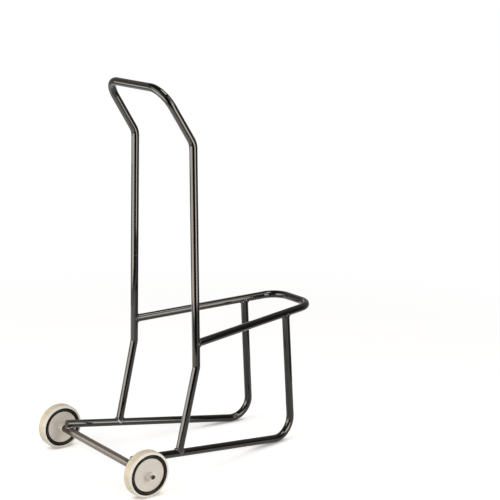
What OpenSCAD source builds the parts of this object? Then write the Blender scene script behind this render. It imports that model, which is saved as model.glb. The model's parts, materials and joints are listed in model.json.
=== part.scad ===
// Stacking chair trolley: a welded tube frame that rolls on two wheels.
// Millimetres. +Z is up, +Y runs from the wheels to the front of the loop, +X is the right side.
// The origin is on the floor, under the middle of the outline.
// Every reach is measured forward from the wheel axle, and every height up from the floor.

/* [Tube] */
// Outside diameter of the frame tubes
tube_d = 22; // [19:0.5:25]
// Wall thickness of the frame tubes
tube_wall = 1.5; // [1:0.1:2.5]
// Axis radius of the corner bends
bend_r = 58; // [50:1:64]
// Axis radius of the slight bends in the uprights
kink_r = 45; // [38:1:60]
// How much the tube's radius swells in a bend
bend_swell = 0.1; // [0.07:0.01:0.2]

/* [Push frame] */
// Height of the top of the handle
handle_h = 1075; // [1000:1:1180]
// Width of the handle between the axes of its two arms
handle_w = 277.5; // [240:0.5:320]
// Reach of the handle's axis
handle_reach = 121.5; // [90:0.5:155]
// Rise of the handle's axis above the upper bends
handle_rise = 150; // [120:1:200]
// Width between the uprights' axes at the upper bends
upper_w = 284.5; // [250:0.5:325]
// Reach of the upper bends
upper_reach = 215.5; // [190:0.5:240]
// Height of the lower bends
lower_h = 299.5; // [260:0.5:325]
// Width between the uprights' axes at the lower bends
lower_w = 315; // [285:0.5:345]
// Reach of the lower bends
lower_reach = 211.5; // [185:0.5:235]
// Reach of the uprights' feet on the rails
foot_reach = 154; // [125:1:190]

/* [Base rails] */
// Width between the rails' axes over the wheel axle
rail_rear_w = 346; // [315:1:370]
// Width between the rails' axes at their front corners
rail_front_w = 207; // [185:1:235]
// Reach of the rails' front corners
rail_reach = 589; // [540:1:640]
// How far the rail tubes run out behind the wheel axle
rail_tail = 7; // [5:0.5:20]
// Depth of the seat ground into each rail where it lies on the axle tube
rail_seat = 0.4; // [0.2:0.1:0.8]
// Thickness of the head of the plug in the rail's rear end
plug_head = 2; // [1.5:0.1:4]
// Length of the plug inside the rail
plug_len = 14; // [8:1:24]

/* [Support loop] */
// Height of the loop's axis where its arms meet the uprights
loop_rear_h = 366; // [340:0.5:410]
// Height of the loop's front bar axis
loop_front_h = 388; // [365:1:425]
// Width between the arms' axes at the front corners
loop_front_w = 165; // [152:1:190]
// Reach of the front bar's axis
loop_reach = 677.5; // [640:0.5:730]
// Reach of the tops of the front legs
leg_reach = 566; // [530:0.5:600]

/* [Wheels] */
// Distance between the middle planes of the wheels
track = 458; // [440:1:500]
// Outside diameter of the tyres
tyre_d = 127; // [115:1:140]
// Width of the tyres
tyre_w = 32; // [28:0.5:36]
// Height of the tyre's wall over the rim
tyre_h = 7.6; // [6.5:0.1:9]
// Width of the rim's rounded ring, seen from the side
rim_w = 10.6; // [9:0.1:12]
// Thickness of the rim's side plates under their rounded faces
rim_plate = 3.5; // [2.5:0.1:4.5]
// How far the rim's rounded faces bulge
rim_bulge = 2.5; // [1.5:0.1:3]
// Thickness of the rim's floor under the tyre
rim_floor = 2.8; // [2:0.1:4]
// Thickness of the disc inside its lip
disc_t = 26; // [22:0.5:28]
// Height of the disc's lip over its face
lip_h = 1; // [0.5:0.1:1.5]
// Width of the disc's lip
lip_w = 3; // [2:0.1:5]
// Outside diameter of the hub boss
boss_d = 21.5; // [19:0.5:26]
// Length of the hub through the wheel
hub_len = 56; // [48:0.5:64]
// Outside diameter of the bush in the hub
bush_d = 14; // [12.5:0.5:16]

/* [Axle] */
// Diameter of the axle rod
rod_d = 10; // [8.5:0.5:11.5]
// Length of the collars inside the axle tube
collar_len = 18; // [12:1:30]
// Thickness of the collars' flanges
collar_flange = 2; // [1.5:0.1:3]
// Thickness of the washers
washer_t = 1.5; // [1:0.1:2.5]
// Outside diameter of the washers
washer_d = 20; // [17:0.5:22]
// Outside diameter of the axle caps
cap_d = 12.6; // [12.2:0.1:15]
// Length of the axle caps
cap_len = 4; // [3.4:0.1:7]
// Thickness of the axle caps' ends
cap_end = 1.2; // [0.8:0.1:2]

/* [Fits] */
// Radial clearance of the turning bush on the rod
run_clear = 0.05; // [0.02:0.01:0.1]
// Radial clearance of the fixed pieces on the rod and in the tubes
fit_clear = 0.05; // [0.02:0.01:0.1]
// End play of each wheel beside its washers
end_play = 0.3; // [0.2:0.05:0.6]
// How far cuts run past the faces they open
overrun = 1; // [0.5:0.1:2]

/* [Hidden] */
$fn = 96;

// Shares of other sizes
lap_share = 0.6;
cope_share = 0.12;
edge_share = 0.04;
round_share = 0.9;
ease_share = 0.08;
dish_share = 0.04;
// How near to the floor the search for the height of the rails' bends has to come
floor_tolerance = 0.0001;

tube_r = tube_d / 2;
tube_in_d = tube_d - 2 * tube_wall;
bend_lap = lap_share * sqrt(2 * bend_swell * min(bend_r, kink_r));
cope_lift = cope_share * tube_d;

upper_h = handle_h - tube_r - handle_rise;
axle_z = tyre_d / 2;
axle_y = (tyre_d / 2 - loop_reach - tube_r) / 2;

// Vectors
function unit(v) = v / norm(v);
function mirrored(p) = [-p[0], p[1], p[2]];
function along(a, b, share) = a + (b - a) * share;
function across(v) = unit(cross(v, abs(v[0]) < abs(v[2]) ? [1, 0, 0] : [0, 0, 1]));
function turn(a, b, c) = acos(unit(b - a) * unit(c - b));
function set_back(a, b, c, r) = r * tan(turn(a, b, c) / 2);
function bend_centre(a, b, c, r) = b + unit(unit(a - b) + unit(c - b)) * r / cos(turn(a, b, c) / 2);
function bend_normal(a, b, c) = unit(cross(b - a, c - b));
function spun(v, axis, angle) =
    v * cos(angle) + cross(axis, v) * sin(angle) + axis * (axis * v) * (1 - cos(angle));
// The direction of a tube's seam along its straight length i, carried round the bends before it
function seam(line, i) =
    i == 0
        ? across(unit(line[1] - line[0]))
        : spun(
            seam(line, i - 1),
            bend_normal(line[i - 1], line[i], line[i + 1]),
            turn(line[i - 1], line[i], line[i + 1])
        );

// Corners of the right half of the frame, on the tube axes
handle_p = [handle_w / 2, axle_y + handle_reach, handle_h - tube_r];
upper_p = [upper_w / 2, axle_y + upper_reach, upper_h];
lower_p = [lower_w / 2, axle_y + lower_reach, lower_h];
root_p = along(lower_p, upper_p, (loop_rear_h - lower_h) / (upper_h - lower_h));
loop_p = [loop_front_w / 2, axle_y + loop_reach, loop_front_h];
leg_p = along(root_p, loop_p, (axle_y + leg_reach - root_p[1]) / (loop_p[1] - root_p[1]));

// The rail lies on the axle tube, and the underside of its front bend touches the floor.
seat_gap = tube_d - rail_seat;
function corner_at(z) = [rail_front_w / 2, axle_y + rail_reach, z];
function rail_tilt(z) = atan2(z - axle_z, rail_reach) - asin(seat_gap / norm([rail_reach, z - axle_z]));
function rear_at(z) = [rail_rear_w / 2, axle_y, z - rail_reach * tan(rail_tilt(z))];
function bend_axis(z) = unit(cross(corner_at(z) - rear_at(z), leg_p - corner_at(z)));
function bend_dip(z) = bend_r * sqrt(1 - pow(bend_axis(z)[2], 2)) + tube_r + bend_swell;
function bend_low(z) = bend_centre(rear_at(z), corner_at(z), leg_p, bend_r)[2] - bend_dip(z);
function settled(z) = abs(bend_low(z)) < floor_tolerance ? z : settled(z - bend_low(z));

corner_p = corner_at(settled(0));
rear_p = rear_at(corner_p[2]);
tail_p = rear_p + unit(rear_p - corner_p) * rail_tail;
foot_p = along(rear_p, corner_p, foot_reach / rail_reach);

// Axis lines of the bent tubes, ending just short of the tubes that they are welded to
foot_end = foot_p + unit(lower_p - foot_p) * cope_lift;
root_end = root_p + unit(loop_p - root_p) * cope_lift;
leg_end = leg_p + unit(corner_p - leg_p) * cope_lift;

push_line = [
    foot_end, lower_p, upper_p, handle_p,
    mirrored(handle_p), mirrored(upper_p), mirrored(lower_p), mirrored(foot_end)
];
push_bends = [0, kink_r, kink_r, bend_r, bend_r, kink_r, kink_r, 0];
loop_line = [root_end, loop_p, mirrored(loop_p), mirrored(root_end)];
loop_bends = [0, bend_r, bend_r, 0];
rail_line = [tail_p, corner_p, leg_end];
rail_bends = [0, bend_r, 0];

// Places along the axle, outward from the middle
wheel_x = track / 2;
hub_in_x = wheel_x - hub_len / 2;
hub_out_x = wheel_x + hub_len / 2;
washer_in_x = hub_in_x - end_play - washer_t;
axle_end_x = washer_in_x - collar_flange;
washer_out_x = hub_out_x + end_play;
cap_x = washer_out_x + washer_t;
rod_end_x = cap_x + cap_len - cap_end;

// Radii of the wheel
tyre_r = tyre_d / 2;
rim_r = tyre_r - tyre_h;
disc_r = rim_r - rim_w;
seat_r = disc_r + rim_floor;
plate_in = tyre_w / 2 - rim_bulge - rim_plate;
plate_out = tyre_w / 2 - rim_bulge;
shoulder_r = round_share * tyre_h;
rim_edge = edge_share * rim_w;
bulge_half = rim_w / 2 - rim_edge;
bulge_r = (pow(bulge_half, 2) + pow(rim_bulge, 2)) / (2 * rim_bulge);
boss_r = boss_d / 2;
boss_ease = ease_share * boss_d;
dish_y = disc_t / 2 - dish_share * disc_t;

// Sets a child's origin on p, with its X and Z axes along x and z.
module seat(p, x, z) {
    y = cross(z, x);
    multmatrix([
        [x[0], y[0], z[0], p[0]],
        [x[1], y[1], z[1], p[1]],
        [x[2], y[2], z[2], p[2]],
        [0, 0, 0, 1]
    ])
        children();
}

// A round bar from a to b, with its seam on the side of x.
module bar(a, b, d, x) {
    seat(a, x, unit(b - a))
        cylinder(h = norm(b - a), d = d);
}

// The bend at b of a round bar that comes from a, with its seam on the side of x, and goes on to c.
module bend(a, b, c, r, d, x) {
    centre = bend_centre(a, b, c, r);
    outward = unit(b + unit(a - b) * set_back(a, b, c, r) - centre);
    normal = bend_normal(a, b, c);
    seat(centre, outward, normal)
        rotate_extrude(angle = turn(a, b, c))
            translate([r, 0])
                rotate(atan2(x * normal, x * outward))
                    circle(d = d);
}

// A round bar along a line of points, with a bend at each inner one, and its ends drawn out by extra.
module bent_bar(line, bends, d, extra) {
    last = len(line) - 1;
    for (i = [0 : last - 1]) {
        way = unit(line[i + 1] - line[i]);
        first_cut = i == 0 ? -extra : set_back(line[i - 1], line[i], line[i + 1], bends[i]) - bend_lap;
        last_cut = i == last - 1
            ? -extra
            : set_back(line[i], line[i + 1], line[i + 2], bends[i + 1]) - bend_lap;
        bar(line[i] + way * first_cut, line[i + 1] - way * last_cut, d, seam(line, i));
    }
    for (i = [1 : last - 1])
        bend(line[i - 1], line[i], line[i + 1], bends[i], d + 2 * bend_swell, seam(line, i - 1));
}

// A hollow tube along a line of points.
module bent_tube(line, bends) {
    difference() {
        bent_bar(line, bends, tube_d, 0);
        bent_bar(line, bends, tube_in_d, overrun);
    }
}

// Turns a child's Z axis to run outward along the axle, from a place on the right half of it.
module on_axle(x) {
    translate([x, axle_y, axle_z])
        rotate([0, 90, 0])
            children();
}

module on_left() {
    mirror([1, 0, 0])
        children();
}

module turned_ring(inner_r, outer_r, from, to) {
    rotate_extrude()
        translate([inner_r, from])
            square([outer_r - inner_r, to - from]);
}

module right_rail_bar() {
    bent_bar(rail_line, rail_bends, tube_d, 0);
}

module axle_bar() {
    bar([-axle_end_x, axle_y, axle_z], [axle_end_x, axle_y, axle_z], tube_d, [0, 0, 1]);
}

module rail() {
    difference() {
        bent_tube(rail_line, rail_bends);
        bent_bar(loop_line, loop_bends, tube_d, 0);
        axle_bar();
    }
}

module rail_plug() {
    way = unit(tail_p - corner_p);
    seat(tail_p, across(way), way) {
        cylinder(h = plug_head, d = tube_d);
        translate([0, 0, -plug_len])
            cylinder(h = plug_len + plug_head / 2, d = tube_in_d - 2 * fit_clear);
    }
}

module axle_collar() {
    on_axle(axle_end_x) {
        turned_ring(rod_d / 2 + fit_clear, tube_r, 0, collar_flange);
        turned_ring(rod_d / 2 + fit_clear, tube_in_d / 2 - fit_clear, -collar_len, collar_flange / 2);
    }
}

module washer(x) {
    on_axle(x)
        turned_ring(rod_d / 2 + fit_clear, washer_d / 2, 0, washer_t);
}

module axle_cap() {
    on_axle(cap_x)
        rotate_extrude()
            polygon([
                [rod_d / 2 + fit_clear, 0],
                [cap_d / 2, 0],
                [cap_d / 2, cap_len - cap_end / 2],
                [cap_d / 2 - cap_end / 2, cap_len],
                [0, cap_len],
                [0, cap_len - cap_end],
                [rod_d / 2 + fit_clear, cap_len - cap_end]
            ]);
}

module tyre() {
    rotate_extrude() {
        translate([seat_r, -plate_in])
            square([tyre_r - shoulder_r - seat_r, 2 * plate_in]);
        translate([rim_r, -tyre_w / 2])
            square([tyre_h - shoulder_r, tyre_w]);
        translate([rim_r, shoulder_r - tyre_w / 2])
            square([tyre_h, tyre_w - 2 * shoulder_r]);
        intersection() {
            translate([tyre_r - shoulder_r, -tyre_w / 2])
                square([shoulder_r, tyre_w]);
            for (side = [-1, 1])
                translate([tyre_r - shoulder_r, side * (tyre_w / 2 - shoulder_r)])
                    circle(r = shoulder_r);
        }
    }
}

module rim() {
    rotate_extrude() {
        translate([disc_r, -plate_out])
            square([rim_floor, 2 * plate_out]);
        for (side = [0, 1])
            mirror([0, side]) {
                translate([disc_r, plate_in])
                    square([rim_w, rim_plate]);
                intersection() {
                    translate([disc_r + rim_w / 2, plate_out + rim_bulge - bulge_r])
                        circle(r = bulge_r);
                    translate([disc_r + rim_edge, plate_in])
                        square([2 * bulge_half, rim_plate + rim_bulge + overrun]);
                }
            }
    }
}

module disc() {
    face = disc_t / 2;
    rotate_extrude()
        polygon([
            [bush_d / 2, -hub_len / 2],
            [boss_r - boss_ease / 2, -hub_len / 2],
            [boss_r, boss_ease / 2 - hub_len / 2],
            [boss_r, -dish_y - boss_ease],
            [boss_r + boss_ease, -dish_y],
            [disc_r - lip_w - lip_h, -face],
            [disc_r - lip_w, -face - lip_h],
            [disc_r, -face - lip_h],
            [disc_r, face + lip_h],
            [disc_r - lip_w, face + lip_h],
            [disc_r - lip_w - lip_h, face],
            [boss_r + boss_ease, dish_y],
            [boss_r, dish_y + boss_ease],
            [boss_r, hub_len / 2 - boss_ease / 2],
            [boss_r - boss_ease / 2, hub_len / 2],
            [bush_d / 2, hub_len / 2]
        ]);
}

module bush() {
    turned_ring(rod_d / 2 + run_clear, bush_d / 2, -hub_len / 2, hub_len / 2);
}

module push_frame() {
    color([0.05, 0.05, 0.05])
        difference() {
            bent_tube(push_line, push_bends);
            right_rail_bar();
            on_left()
                right_rail_bar();
        }
}

module support_loop() {
    color([0.05, 0.05, 0.05])
        difference() {
            bent_tube(loop_line, loop_bends);
            bent_bar(push_line, push_bends, tube_d, 0);
        }
}

module right_rail() {
    color([0.05, 0.05, 0.05])
        rail();
}

module left_rail() {
    color([0.05, 0.05, 0.05])
        on_left()
            rail();
}

module right_rail_plug() {
    color([0.3, 0.29, 0.27])
        rail_plug();
}

module left_rail_plug() {
    color([0.3, 0.29, 0.27])
        on_left()
            rail_plug();
}

module axle_tube() {
    color([0.35, 0.32, 0.29])
        difference() {
            axle_bar();
            bar(
                [-axle_end_x - overrun, axle_y, axle_z],
                [axle_end_x + overrun, axle_y, axle_z],
                tube_in_d,
                [0, 0, 1]
            );
        }
}

module axle_rod() {
    color([0.55, 0.55, 0.55])
        bar([-rod_end_x, axle_y, axle_z], [rod_end_x, axle_y, axle_z], rod_d, [0, 0, 1]);
}

module right_axle_collar() {
    color([0.1, 0.1, 0.1])
        axle_collar();
}

module left_axle_collar() {
    color([0.1, 0.1, 0.1])
        on_left()
            axle_collar();
}

module right_inner_washer() {
    color([0.6, 0.6, 0.58])
        washer(washer_in_x);
}

module left_inner_washer() {
    color([0.6, 0.6, 0.58])
        on_left()
            washer(washer_in_x);
}

module right_outer_washer() {
    color([0.75, 0.74, 0.7])
        washer(washer_out_x);
}

module left_outer_washer() {
    color([0.75, 0.74, 0.7])
        on_left()
            washer(washer_out_x);
}

module right_axle_cap() {
    color([0.06, 0.06, 0.06])
        axle_cap();
}

module left_axle_cap() {
    color([0.06, 0.06, 0.06])
        on_left()
            axle_cap();
}

module right_tyre() {
    color([0.86, 0.81, 0.7])
        on_axle(wheel_x)
            tyre();
}

module left_tyre() {
    color([0.86, 0.81, 0.7])
        on_axle(-wheel_x)
            tyre();
}

module right_rim() {
    color([0.06, 0.06, 0.06])
        on_axle(wheel_x)
            rim();
}

module left_rim() {
    color([0.06, 0.06, 0.06])
        on_axle(-wheel_x)
            rim();
}

module right_disc() {
    color([0.8, 0.77, 0.72])
        on_axle(wheel_x)
            disc();
}

module left_disc() {
    color([0.8, 0.77, 0.72])
        on_axle(-wheel_x)
            disc();
}

module right_bush() {
    color([0.9, 0.9, 0.88])
        on_axle(wheel_x)
            bush();
}

module left_bush() {
    color([0.9, 0.9, 0.88])
        on_axle(-wheel_x)
            bush();
}

push_frame();
support_loop();
left_rail();
right_rail();
left_rail_plug();
right_rail_plug();
axle_tube();
axle_rod();
left_axle_collar();
right_axle_collar();
left_inner_washer();
right_inner_washer();
left_outer_washer();
right_outer_washer();
left_axle_cap();
right_axle_cap();
left_tyre();
left_rim();
left_disc();
left_bush();
right_tyre();
right_rim();
right_disc();
right_bush();
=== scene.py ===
"""Looks of a stacking chair trolley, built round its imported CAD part. Lengths are in metres."""
import json
import math

import bpy
from mathutils import Matrix, Vector, noise


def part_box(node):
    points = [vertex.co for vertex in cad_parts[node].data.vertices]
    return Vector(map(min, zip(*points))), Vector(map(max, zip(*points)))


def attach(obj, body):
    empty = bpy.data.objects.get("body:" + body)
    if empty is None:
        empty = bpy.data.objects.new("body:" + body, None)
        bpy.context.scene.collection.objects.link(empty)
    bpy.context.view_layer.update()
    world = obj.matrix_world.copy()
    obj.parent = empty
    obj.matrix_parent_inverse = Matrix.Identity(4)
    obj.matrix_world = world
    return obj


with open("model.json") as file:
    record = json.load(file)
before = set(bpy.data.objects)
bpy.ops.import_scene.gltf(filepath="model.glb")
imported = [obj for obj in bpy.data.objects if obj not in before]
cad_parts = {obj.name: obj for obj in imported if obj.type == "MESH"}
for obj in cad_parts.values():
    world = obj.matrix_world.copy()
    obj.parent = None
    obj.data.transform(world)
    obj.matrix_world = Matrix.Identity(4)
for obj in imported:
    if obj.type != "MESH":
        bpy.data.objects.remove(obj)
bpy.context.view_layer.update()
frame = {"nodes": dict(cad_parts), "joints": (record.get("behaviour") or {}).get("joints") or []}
scene = bpy.context.scene

# The axle and the radii of pieces round it, from the frame
AXLE = Vector((0.0, *frame["joints"][0]["pos_m"][1:]))


def radius_of(node):
    """How far a round piece on the axle reaches below the axle's middle."""
    return AXLE.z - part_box(node)[0].z


TUBE_R = radius_of("axle_tube")
CAP_R = radius_of("right_axle_cap")
RIM_CROWN_R = (radius_of("right_disc") + radius_of("right_rim")) / 2


# Corners of the right half of the frame, on the tubes' axes, as the part's source has them
def corner(width, reach, height):
    """A corner by the width between both sides, the reach forward from the axle and the height."""
    return Vector((width / 2, AXLE.y + reach, height))


def on_line(a, b, axis, value):
    """The point on the line through a and b whose coordinate on one axis has this value."""
    return a.lerp(b, (value - a[axis]) / (b[axis] - a[axis]))


LOOP_ROOT_H = 0.366
LEG_REACH = 0.566
FOOT_REACH = 0.154
LOWER = corner(width=0.315, reach=0.2115, height=0.2995)
UPPER = corner(width=0.2845, reach=0.2155, height=0.914)
LOOP = corner(width=0.165, reach=0.6775, height=0.388)
RAIL_REAR = corner(width=0.346, reach=0.0, height=0.08532)
RAIL_FRONT = corner(width=0.207, reach=0.589, height=0.00179)
ROOT = on_line(LOWER, UPPER, 2, LOOP_ROOT_H)
LEG = on_line(ROOT, LOOP, 1, AXLE.y + LEG_REACH)
FOOT = on_line(RAIL_REAR, RAIL_FRONT, 1, AXLE.y + FOOT_REACH)

# Colours and shader values, with the commoner tone of a pair first
WHITE = (1.0, 1.0, 1.0)
NOISE_SPAN = (0.3, 0.7)
BLACK = (0.003, 0.0026, 0.0022)
SOFT_BLACK = (0.006, 0.005, 0.0042)
CREAM_TREAD = ((0.8, 0.7, 0.53), (0.72, 0.62, 0.46))
CREAM_WALL = ((0.93, 0.91, 0.86), (0.89, 0.86, 0.8))
TYRE_DIRT = (0.36, 0.31, 0.25)
WELD_ENAMEL = (0.006, 0.005, 0.004)
BARE_WELD = (0.42, 0.38, 0.35)
STAIN_SHADE = 0.62
# A paler tone painted along the rim's crown as a highlight
RIM_CROWN_HIGHLIGHT = (0.085, 0.07, 0.055)
# A paler tone along the edge of the axle caps
PALE_CAP_EDGE = (0.42, 0.38, 0.33)

# Places and widths of marks on the materials
# Where the axle tube turns black, from just inside the rails outward: painted shade beside the rails
AXLE_PAINTED_SHADE_ENDS = (-0.156, 0.142)
END_FADE = 0.004
END_WAVE = 0.01
# Where the left foot weld turns pale: a painted highlight
PAINTED_GLINT_SPOT = (-0.1425, -0.162, 0.0705)
SPOT_CORE = 0.0055
SPOT_EDGE = 0.008
CROWN_CORE = 0.0003
CROWN_EDGE = 0.0015


# Helpers that make node materials
class Nodes:
    """An emptied node tree, to which nodes are added in a few words each."""

    def __init__(self, owner, output):
        owner.use_nodes = True
        self.tree = owner.node_tree
        self.tree.nodes.clear()
        self.output = self.add(output)

    def put(self, node, key, value):
        """Sets an input to a value or a colour of three parts, or links it to a socket."""
        socket = node.inputs[key]
        if isinstance(value, bpy.types.NodeSocket):
            self.tree.links.new(value, socket)
        elif socket.type == "RGBA":
            socket.default_value = (*value, 1.0)
        else:
            socket.default_value = value

    def add(self, kind, inputs=(), **settings):
        """A new node. Its settings come first, because some of them change its inputs."""
        node = self.tree.nodes.new(kind)
        for key, value in settings.items():
            setattr(node, key, value)
        for key, value in dict(inputs).items():
            self.put(node, key, value)
        return node

    def show(self, shader):
        self.put(self.output, "Surface", shader)

    def math(self, operation, *values):
        return self.add("ShaderNodeMath", dict(enumerate(values)), operation=operation).outputs[0]

    def glow(self, color, strength):
        return self.add("ShaderNodeEmission", {"Color": color, "Strength": strength}).outputs[0]

    def blend(self, factor, first, second):
        return self.add("ShaderNodeMixShader", {0: factor, 1: first, 2: second}).outputs[0]

    def seen_rays(self):
        """1 for rays that show the background: from the camera, and off or through glossy things."""
        path = self.add("ShaderNodeLightPath").outputs
        direct = self.math("MAXIMUM", path["Is Camera Ray"], path["Is Glossy Ray"])
        return self.math("MAXIMUM", direct, path["Is Transmission Ray"])


class Finish(Nodes):
    """A material with one principled shader, whose textures follow the place on the object."""

    def __init__(self, name, **sockets):
        self.material = bpy.data.materials.new(name)
        super().__init__(self.material, "ShaderNodeOutputMaterial")
        inputs = {key.replace("_", " "): value for key, value in sockets.items()}
        self.shader = self.add("ShaderNodeBsdfPrincipled", inputs)
        self.show(self.shader.outputs[0])
        self.place = self.add("ShaderNodeTexCoord").outputs["Object"]

    def noise(self, scale, detail=3.0, rough=0.5, place=None):
        inputs = {"Vector": place or self.place, "Scale": scale, "Detail": detail, "Roughness": rough}
        return self.add("ShaderNodeTexNoise", inputs).outputs["Fac"]

    def stretched(self, factors):
        return self.add("ShaderNodeMapping", {"Vector": self.place, "Scale": factors}).outputs[0]

    def remap(self, value, low, high, to_low=0.0, to_high=1.0):
        """Maps the span from low to high smoothly to the span from to_low to to_high."""
        inputs = dict(enumerate((value, low, high, to_low, to_high)))
        return self.add("ShaderNodeMapRange", inputs, interpolation_type="SMOOTHSTEP").outputs[0]

    def mix(self, factor, first, second):
        return self.add("ShaderNodeMix", {0: factor, 6: first, 7: second}, data_type="RGBA").outputs[2]

    def bump(self, height, strength, distance, before=None):
        inputs = {"Height": height, "Strength": strength, "Distance": distance}
        if before:
            inputs["Normal"] = before
        return self.add("ShaderNodeBump", inputs).outputs[0]

    def split(self, vector):
        return self.add("ShaderNodeSeparateXYZ", {0: vector}).outputs

    def length(self, a, b):
        """The length of a flat vector."""
        return self.math("SQRT", self.math("ADD", self.math("MULTIPLY", a, a), self.math("MULTIPLY", b, b)))

    def axle_distance(self):
        off = self.add("ShaderNodeVectorMath", {0: self.place, 1: AXLE}, operation="SUBTRACT").outputs[0]
        return self.length(*self.split(off)[1:])

    def rings(self, distance, scale):
        """Noise that follows circles round the axle."""
        inputs = {"W": distance, "Scale": scale, "Detail": 2.0}
        return self.add("ShaderNodeTexNoise", inputs, noise_dimensions="1D").outputs["Fac"]

    def finish(self, color, roughness, normal):
        for key, value in (("Base Color", color), ("Roughness", roughness), ("Normal", normal)):
            self.put(self.shader, key, value)
        return self.material


# Materials
def enamel(name, dark, light, worn, rough, painted_shade_ends=None, **sockets):
    """Stoved enamel on steel tube: orange peel, sags, dulled patches, scuffs, and perhaps black ends that
    are painted shade.
    """
    f = Finish(name, **sockets)
    cloud = f.noise(9.0, detail=4.0)
    rubs = f.remap(f.noise(55.0, detail=6.0, rough=0.65), 0.6, 0.72)
    scuffs = f.remap(f.noise(140.0, rough=0.6, place=f.stretched((1.0, 0.25, 1.0))), 0.64, 0.7)
    patches = f.remap(f.noise(6.0, detail=2.0), 0.5, 0.62)
    spots = f.math("MULTIPLY", scuffs, patches)
    color = f.mix(cloud, dark, light)
    color = f.mix(f.math("MULTIPLY", spots, 0.5), color, worn)
    # Black towards both ends of the axle: painted shade, not a second paint
    if painted_shade_ends:
        along = f.math("ADD", f.split(f.place)[0], f.math("MULTIPLY", cloud, END_WAVE))
        for edge, fade in zip(painted_shade_ends, (-END_FADE, END_FADE)):
            color = f.mix(f.remap(along, edge, edge + fade), color, SOFT_BLACK)
    roughness = f.remap(cloud, *NOISE_SPAN, *rough)
    roughness = f.math("ADD", roughness, f.math("MULTIPLY", rubs, 0.06))
    roughness = f.math("ADD", roughness, f.math("MULTIPLY", spots, 0.14))
    peel = f.bump(f.noise(210.0, detail=2.0), strength=0.008, distance=0.0004)
    sags = f.bump(f.noise(28.0, detail=1.0), strength=0.02, distance=0.002, before=peel)
    return f.finish(color, roughness, sags)


def steel(name, base, rough, grain):
    """Bright steel with a drawn or rolled grain and slight stains."""
    f = Finish(name, Metallic=1.0)
    lines = f.noise(300.0, detail=4.0, rough=0.6, place=f.stretched(grain))
    stains = f.remap(f.noise(60.0, detail=4.0), 0.45, 0.7)
    stained = tuple(STAIN_SHADE * part for part in base)
    color = f.mix(f.math("MULTIPLY", stains, 0.5), base, stained)
    roughness = f.remap(lines, *NOISE_SPAN, *rough)
    return f.finish(color, roughness, f.bump(lines, strength=0.15, distance=0.0002))


def plastic(name, base, tone, rough, **sockets):
    """Moulded plastic with a fine texture and slight flow marks."""
    f = Finish(name, **sockets)
    flow = f.noise(35.0)
    color = f.mix(f.remap(flow, 0.35, 0.7), base, tone)
    roughness = f.remap(flow, *NOISE_SPAN, *rough)
    return f.finish(color, roughness, f.bump(f.noise(420.0, detail=2.0), strength=0.1, distance=0.0002))


def rubber(name):
    """Cream rubber: yellower on the tread and whiter on the side walls, with dirt and pores all over."""
    f = Finish(name, Specular_IOR_Level=0.35)
    facing = f.split(f.add("ShaderNodeNewGeometry").outputs["Normal"])
    side = f.remap(f.math("ABSOLUTE", facing[0]), 0.25, 0.85)
    cloud = f.noise(30.0, detail=5.0, rough=0.6)
    shade = f.remap(cloud, 0.35, 0.7)
    color = f.mix(side, f.mix(shade, *CREAM_TREAD), f.mix(shade, *CREAM_WALL))
    dirt = f.remap(f.noise(120.0, detail=6.0, rough=0.7), 0.58, 0.74)
    color = f.mix(f.math("MULTIPLY", dirt, 0.22), color, TYRE_DIRT)
    roughness = f.remap(cloud, *NOISE_SPAN, 0.5, 0.68)
    pores = f.bump(f.noise(650.0, rough=0.6), strength=0.16, distance=0.0003)
    dents = f.bump(f.noise(70.0, detail=2.0), strength=0.08, distance=0.0006, before=pores)
    return f.finish(color, roughness, dents)


def weld(name, thin, spot=None):
    """Weld metal: bare where the noise is high and the enamel thin, or only round one spot, where the pale
    bare metal is a painted highlight.
    """
    f = Finish(name, Specular_IOR_Level=0.6)
    bare = f.remap(f.noise(170.0, rough=0.6), *thin)
    # Pale bare metal round one spot only: a painted highlight
    if spot:
        off = f.add("ShaderNodeVectorMath", {0: f.place, 1: spot}, operation="DISTANCE").outputs["Value"]
        bare = f.math("MULTIPLY", bare, f.remap(off, SPOT_CORE, SPOT_EDGE, 1.0, 0.0))
    color = f.mix(bare, WELD_ENAMEL, BARE_WELD)
    f.put(f.shader, "Metallic", f.math("MULTIPLY", bare, 0.7))
    roughness = f.remap(f.noise(300.0), *NOISE_SPAN, 0.08, 0.28)
    return f.finish(color, roughness, f.bump(f.noise(420.0), strength=0.25, distance=0.0005))


def turned(name, base, tone, rough, bands, depth, crown=None, **sockets):
    """A moulding round the axle, with rings from its turned mould and perhaps a paler ring at one radius."""
    f = Finish(name, **sockets)
    distance = f.axle_distance()
    rings = f.rings(distance, bands)
    cloud = f.noise(40.0, detail=4.0)
    marks = f.math("ADD", f.math("MULTIPLY", rings, 0.7), f.math("MULTIPLY", cloud, 0.3))
    color = f.mix(f.remap(marks, 0.32, 0.68), base, tone)
    # A paler ring at one radius: on the rim it is a painted highlight along the crown
    if crown:
        radius, pale = crown
        off = f.math("ABSOLUTE", f.math("SUBTRACT", distance, radius))
        pale_ring = f.remap(off, CROWN_CORE, CROWN_EDGE, 1.0, 0.0)
        pale_ring = f.math("MULTIPLY", pale_ring, f.remap(cloud, 0.35, 0.6, 0.35, 1.0))
        color = f.mix(pale_ring, color, pale)
    roughness = f.remap(marks, *NOISE_SPAN, *rough)
    grain = f.bump(f.noise(500.0, detail=2.0), strength=0.06, distance=0.0002)
    return f.finish(color, roughness, f.bump(rings, strength=depth, distance=0.0006, before=grain))


def pair(name):
    return ("left_" + name, "right_" + name)


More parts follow.
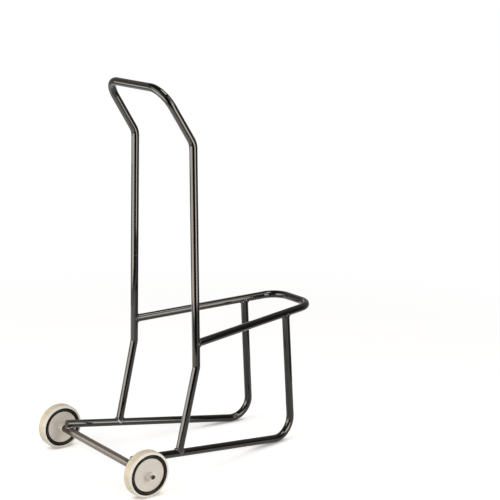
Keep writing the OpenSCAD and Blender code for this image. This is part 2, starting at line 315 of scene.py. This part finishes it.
frame_enamel = enamel(
    "frame_enamel", dark=BLACK, light=SOFT_BLACK, worn=(0.05, 0.045, 0.04), rough=(0.05, 0.09),
    Specular_IOR_Level=0.5,
)
# Taupe enamel on the axle tube, with painted shade in black at its ends
axle_enamel = enamel(
    "axle_enamel", dark=(0.075, 0.055, 0.04), light=(0.115, 0.085, 0.062), worn=(0.03, 0.022, 0.016),
    rough=(0.16, 0.26), painted_shade_ends=AXLE_PAINTED_SHADE_ENDS, Specular_IOR_Level=1.0,
)
rod_steel = steel("rod_steel", base=(0.6, 0.59, 0.57), rough=(0.22, 0.36), grain=(0.05, 1.0, 1.0))
washer_steel = steel("washer_steel", base=(0.5, 0.48, 0.45), rough=(0.4, 0.52), grain=(1.0, 0.3, 0.3))
plug_plastic = plastic(
    "plug_plastic", base=(0.03, 0.027, 0.025), tone=(0.055, 0.05, 0.047), rough=(0.35, 0.5),
    Specular_IOR_Level=0.35,
)
collar_plastic = plastic(
    "collar_plastic", base=(0.02, 0.018, 0.016), tone=(0.035, 0.032, 0.03), rough=(0.38, 0.52),
)
bush_plastic = plastic("bush_plastic", base=(0.78, 0.76, 0.7), tone=(0.7, 0.67, 0.6), rough=(0.4, 0.52))
# Black axle caps, paler along their edge
cap_plastic = turned(
    "cap_plastic", base=(0.01, 0.008, 0.006), tone=(0.02, 0.016, 0.012), rough=(0.3, 0.42),
    bands=420.0, depth=0.1, crown=(CAP_R, PALE_CAP_EDGE), Specular_IOR_Level=0.2,
)
disc_plastic = turned(
    "disc_plastic", base=(0.805, 0.75, 0.685), tone=(0.73, 0.665, 0.59), rough=(0.34, 0.5),
    bands=260.0, depth=0.3, Specular_IOR_Level=0.4,
)
# Black rim, with a highlight painted along its crown
rim_plastic = turned(
    "rim_plastic", base=(0.009, 0.0062, 0.0035), tone=(0.015, 0.0105, 0.006), rough=(0.12, 0.2),
    bands=420.0, depth=0.1, crown=(RIM_CROWN_R, RIM_CROWN_HIGHLIGHT), Specular_IOR_Level=0.06,
)
tyre_rubber = rubber("tyre_rubber")

DRESS = (
    (frame_enamel, ("push_frame", "support_loop", *pair("rail"))),
    (axle_enamel, ("axle_tube",)),
    (rod_steel, ("axle_rod",)),
    (washer_steel, (*pair("inner_washer"), *pair("outer_washer"))),
    (plug_plastic, pair("rail_plug")),
    (collar_plastic, pair("axle_collar")),
    (cap_plastic, pair("axle_cap")),
    (bush_plastic, pair("bush")),
    (disc_plastic, pair("disc")),
    (rim_plastic, pair("rim")),
    (tyre_rubber, pair("tyre")),
)
for material, names in DRESS:
    for name in names:
        slots = frame["nodes"][name].data.materials
        slots.clear()
        slots.append(material)


# Mesh objects
def add_mesh(name, verts, faces, material):
    mesh = bpy.data.meshes.new(name)
    mesh.from_pydata(verts, [], faces)
    mesh.update()
    mesh.materials.append(material)
    obj = bpy.data.objects.new(name, mesh)
    scene.collection.objects.link(obj)
    return obj


def grid_faces(rows, columns, closed):
    """Faces over rows of points, which close on themselves both ways or not at all."""
    edge = 0 if closed else 1
    faces = []
    for row in range(rows - edge):
        here = row * columns
        there = (row + 1) % rows * columns
        for left in range(columns - edge):
            right = (left + 1) % columns
            faces.append((here + left, here + right, there + right, there + left))
    return faces


def circle(count):
    return [2 * math.pi * i / count for i in range(count)]


# Weld beads, which the frame carries where its tubes meet
RIPPLES = 24
RIPPLE_STEPS = 7
RIPPLE_SHARE = 0.07
RIPPLE_SLIDE = 0.0004
LUMP_SCALE = 260.0
LUMP_SHARE = 0.26
PROFILE_SIDES = 12
SKIN_SHARE = 0.985
FOOT_BEAD_R = 0.00368
ROOT_BEAD_R = 0.002875
LEG_BEAD_R = 0.00299
AXLE_BEAD_R = 0.003335
AXLE_BEAD_REACH = 0.0092
SEED_STEP = 3.0

axle_weld = weld("weld_metal", thin=(0.44, 0.58))
coated_weld = weld("weld_enamel", thin=(0.6, 0.68))
# A weld that is pale only round one spot: a painted highlight on the left foot weld
painted_glint_weld = weld("painted_glint_weld", thin=(0.3, 0.42), spot=PAINTED_GLINT_SPOT)


def saddle(at, toward, axis):
    """Points and outward directions round the end of a tube that meets another of its own size."""
    way = toward.normalized()
    line = axis.normalized()
    first = (line - way * line.dot(way)).normalized()
    second = way.cross(first)
    rise = way - line * way.dot(line)
    ring = []
    for angle in circle(RIPPLES * RIPPLE_STEPS):
        out = first * math.cos(angle) + second * math.sin(angle)
        start = out * TUBE_R * SKIN_SHARE
        flat = start - line * start.dot(line)
        square = flat.dot(rise) ** 2 - rise.length_squared * (flat.length_squared - TUBE_R ** 2)
        run = (math.sqrt(max(square, 0.0)) - flat.dot(rise)) / rise.length_squared
        other = (flat + rise * run).normalized()
        ring.append((at + start + way * run, (out + other).normalized()))
    return ring


def seat_ring(at, axis, up, reach):
    """Points and outward directions round the seat of one tube that lies across another."""
    side = axis.cross(up).normalized()
    lift = (TUBE_R - math.sqrt(TUBE_R ** 2 - reach ** 2)) / 2
    ring = []
    for angle in circle(RIPPLES * RIPPLE_STEPS):
        out = axis * math.cos(angle) + side * math.sin(angle)
        ring.append((at + out * reach - up * (lift * math.cos(2 * angle)), out))
    return ring


def bead(name, ring, radius, seed, metal):
    """A rippled and lumpy bead of weld metal that runs round a closed ring of points."""
    count = len(ring)
    verts = []
    for i, (point, out) in enumerate(ring):
        along = (ring[(i + 1) % count][0] - ring[i - 1][0]).normalized()
        out = (out - along * out.dot(along)).normalized()
        across = along.cross(out)
        ripple = math.cos(2 * math.pi * i / RIPPLE_STEPS)
        lump = noise.noise(point * LUMP_SCALE + Vector((seed, 0.0, 0.0)))
        r = radius * (1.0 + RIPPLE_SHARE * ripple + LUMP_SHARE * lump)
        middle = point + along * (RIPPLE_SLIDE * ripple)
        for angle in circle(PROFILE_SIDES):
            verts.append(middle + out * (r * math.cos(angle)) + across * (r * math.sin(angle)))
    obj = add_mesh(name, verts, grid_faces(count, PROFILE_SIDES, closed=True), metal)
    obj.data.shade_smooth()
    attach(obj, "frame")


for word, side, seed, foot_weld in (("left", -1, 11.0, painted_glint_weld), ("right", 1, 47.0, coated_weld)):
    lower, upper, root, loop, leg, front, rear, foot = (
        Vector((side * p.x, p.y, p.z)) for p in (LOWER, UPPER, ROOT, LOOP, LEG, RAIL_FRONT, RAIL_REAR, FOOT)
    )
    rail_way = (front - rear).normalized()
    rail_up = Vector((1.0, 0.0, 0.0)).cross(rail_way).normalized()
    touch = Vector((rear.x, AXLE.y, AXLE.z)) + rail_up * TUBE_R
    welds = (
        ("foot", saddle(foot, lower - foot, rail_way), FOOT_BEAD_R, foot_weld),
        ("root", saddle(root, loop - root, upper - lower), ROOT_BEAD_R, coated_weld),
        ("leg", saddle(leg, front - leg, loop - root), LEG_BEAD_R, coated_weld),
        ("axle", seat_ring(touch, rail_way, rail_up, AXLE_BEAD_REACH), AXLE_BEAD_R, axle_weld),
    )
    for i, (joint, ring, radius, metal) in enumerate(welds):
        bead(f"{word}_{joint}_weld", ring, radius, seed + i * SEED_STEP, metal)


# Camera, fitted to the photograph
YAW = math.radians(53.0726)
PITCH = math.radians(13.1249)
ROLL = math.radians(-0.2607)
CAMERA_PLACE = Vector((3.3077, -2.2867, 1.5226))
LENS_MM = 105.6553
SENSOR_MM = 36.0

forward = Vector((-math.sin(YAW) * math.cos(PITCH), math.cos(YAW) * math.cos(PITCH), -math.sin(PITCH)))
level = Vector((math.cos(YAW), math.sin(YAW), 0.0))
down = forward.cross(level)
image_right = level * math.cos(ROLL) + down * math.sin(ROLL)
image_up = level * math.sin(ROLL) - down * math.cos(ROLL)
lens = bpy.data.cameras.new("camera")
lens.sensor_width = SENSOR_MM
lens.lens = LENS_MM
camera = bpy.data.objects.new("camera", lens)
turn = Matrix((image_right, image_up, -forward)).transposed().to_4x4()
camera.matrix_world = Matrix.Translation(CAMERA_PLACE) @ turn
scene.collection.objects.link(camera)
scene.camera = camera

# Studio: a white surround, a pale floor, two soft lamps, and bright and dark cards that only reflections see
WORLD_TINT = (1.0, 0.985, 0.965)
WORLD_LIGHT = 0.42
LAMP_TINT = (1.0, 0.985, 0.955)
CARD_TINT = (1.0, 0.93, 0.83)
FLOOR_TONES = ((0.9, 0.895, 0.885), (0.93, 0.925, 0.915))
FLOOR_R = 40.0
FLOOR_SIDES = 96
FLOOR_FADE = (0.8, 2.4)
# Reach and depth of the floor's painted contact shadow
CONTACT_REACH = 0.02
CONTACT_SPAN = (0.3, 0.9)
CONTACT_GLOW = (0.1, 0.5)
TO_CAMERA = Vector((math.sin(YAW), -math.cos(YAW), 0.0))
RIGHT_WALL = ((0.85, 0.006), (1.3, 0.01), (1.3, 1.9), (0.7, 2.6))


def surround():
    """A world that gives soft light and shows as white."""
    world = bpy.data.worlds.new("studio")
    scene.world = world
    n = Nodes(world, "ShaderNodeOutputWorld")
    light = n.add("ShaderNodeBackground", {"Color": WORLD_TINT, "Strength": WORLD_LIGHT}).outputs[0]
    white = n.add("ShaderNodeBackground", {"Color": WHITE, "Strength": 1.0}).outputs[0]
    n.show(n.blend(n.seen_rays(), light, white))


def floor():
    """Pale paper that is darker close to what stands on it, a painted contact shadow, and fades to white
    further out.
    """
    f = Finish("floor_paper", Specular_IOR_Level=0.0, Roughness=0.9)
    f.put(f.shader, "Base Color", f.mix(f.noise(180.0), *FLOOR_TONES))
    seen = f.seen_rays()
    # The glow dims close to what stands on the floor: a painted contact shadow
    open_air = f.add("ShaderNodeAmbientOcclusion", {"Distance": CONTACT_REACH}, samples=8).outputs["AO"]
    lift = f.math("MULTIPLY", seen, f.remap(open_air, *CONTACT_SPAN, *CONTACT_GLOW))
    near = f.add("ShaderNodeAddShader", {0: f.shader.outputs[0], 1: f.glow(WHITE, lift)}).outputs[0]
    out_from_middle = f.length(*f.split(f.place)[:2])
    fade = f.math("MULTIPLY", seen, f.remap(out_from_middle, *FLOOR_FADE))
    f.show(f.blend(fade, near, f.glow(WHITE, 1.0)))
    verts = [(FLOOR_R * math.cos(angle), FLOOR_R * math.sin(angle), 0.0) for angle in circle(FLOOR_SIDES)]
    add_mesh("floor", verts, [tuple(range(FLOOR_SIDES))], f.material)


def around(angle, distance, height):
    """A place round the object, at an angle in degrees to the right of the camera's direction."""
    a = math.radians(angle)
    flat = TO_CAMERA * math.cos(a) + level * math.sin(a)
    return Vector((0.0, 0.0, height)) + flat * distance


def card(name, first, last, sides, rows, strength):
    """A curved card of even light that only reflections see, from angle to angle through rows of places."""
    turns = [first + (last - first) * i / sides for i in range(sides + 1)]
    verts = [around(angle, distance, height) for distance, height in rows for angle in turns]
    material = bpy.data.materials.new(name)
    n = Nodes(material, "ShaderNodeOutputMaterial")
    n.show(n.glow(CARD_TINT, strength))
    obj = add_mesh(name, verts, grid_faces(len(rows), len(turns), closed=False), material)
    for ray in ("camera", "diffuse", "transmission", "volume_scatter", "shadow"):
        setattr(obj, "visible_" + ray, False)


def softbox(name, place, aim_height, size, radiance):
    """A square lamp that faces the object's middle line at one height."""
    lamp = bpy.data.lights.new(name, "AREA")
    lamp.shape = "SQUARE"
    lamp.size = size
    lamp.energy = radiance * math.pi * size ** 2
    lamp.color = LAMP_TINT
    obj = bpy.data.objects.new(name, lamp)
    obj.location = place
    aim = Vector((0.0, 0.0, aim_height))
    obj.rotation_euler = (aim - place).to_track_quat("-Z", "Y").to_euler()
    obj.visible_camera = False
    scene.collection.objects.link(obj)


surround()
floor()
card("left_box", -85, -26, 16, rows=((1.95, 0.0), (1.95, 1.05)), strength=8.5)
card("left_back_box", -109.5, -85, 8, rows=((2.1, 0.5), (2.1, 1.08)), strength=4.5)
card("left_back_dark", -170, -109.5, 12, rows=((2.1, 0.02), (2.1, 1.12)), strength=0.45)
card("left_low", -140, -78, 14, rows=((0.95, 0.0), (0.95, 0.2)), strength=2.4)
card("left_floor", -110, 0, 24, rows=((0.72, 0.006), (1.45, 0.006)), strength=2.4)
card("left_top", -170, -85, 16, rows=((2.15, 1.12), (1.7, 2.4)), strength=0.45)
card("front_dark", -26, 32, 12, rows=((1.5, 0.006), (2.3, 0.01), (2.5, 2.4)), strength=0.02)
card("right_box", 32, 64, 12, rows=((1.9, 0.08), (1.9, 1.3)), strength=9.3)
card("right_dark", 67, 101, 8, rows=RIGHT_WALL, strength=0.12)
card("right_back_dark", 101, 172, 12, rows=RIGHT_WALL, strength=0.4)
card("right_top_box", 55, 92, 8, rows=((1.27, 1.3), (1.02, 2.1)), strength=3.5)
card("top_lamp", 45, 108, 8, rows=((0.9, 2.3), (0.3, 2.6)), strength=12.0)
card("ceiling", -180, 180, 24, rows=((0.05, 2.9), (2.4, 2.75)), strength=0.1)
softbox("key", around(-60, 2.2, 1.5), aim_height=0.4, size=1.6, radiance=2.6)
softbox("fill", around(50, 2.4, 1.2), aim_height=0.3, size=1.2, radiance=4.7)

scene.view_settings.view_transform = "Standard"
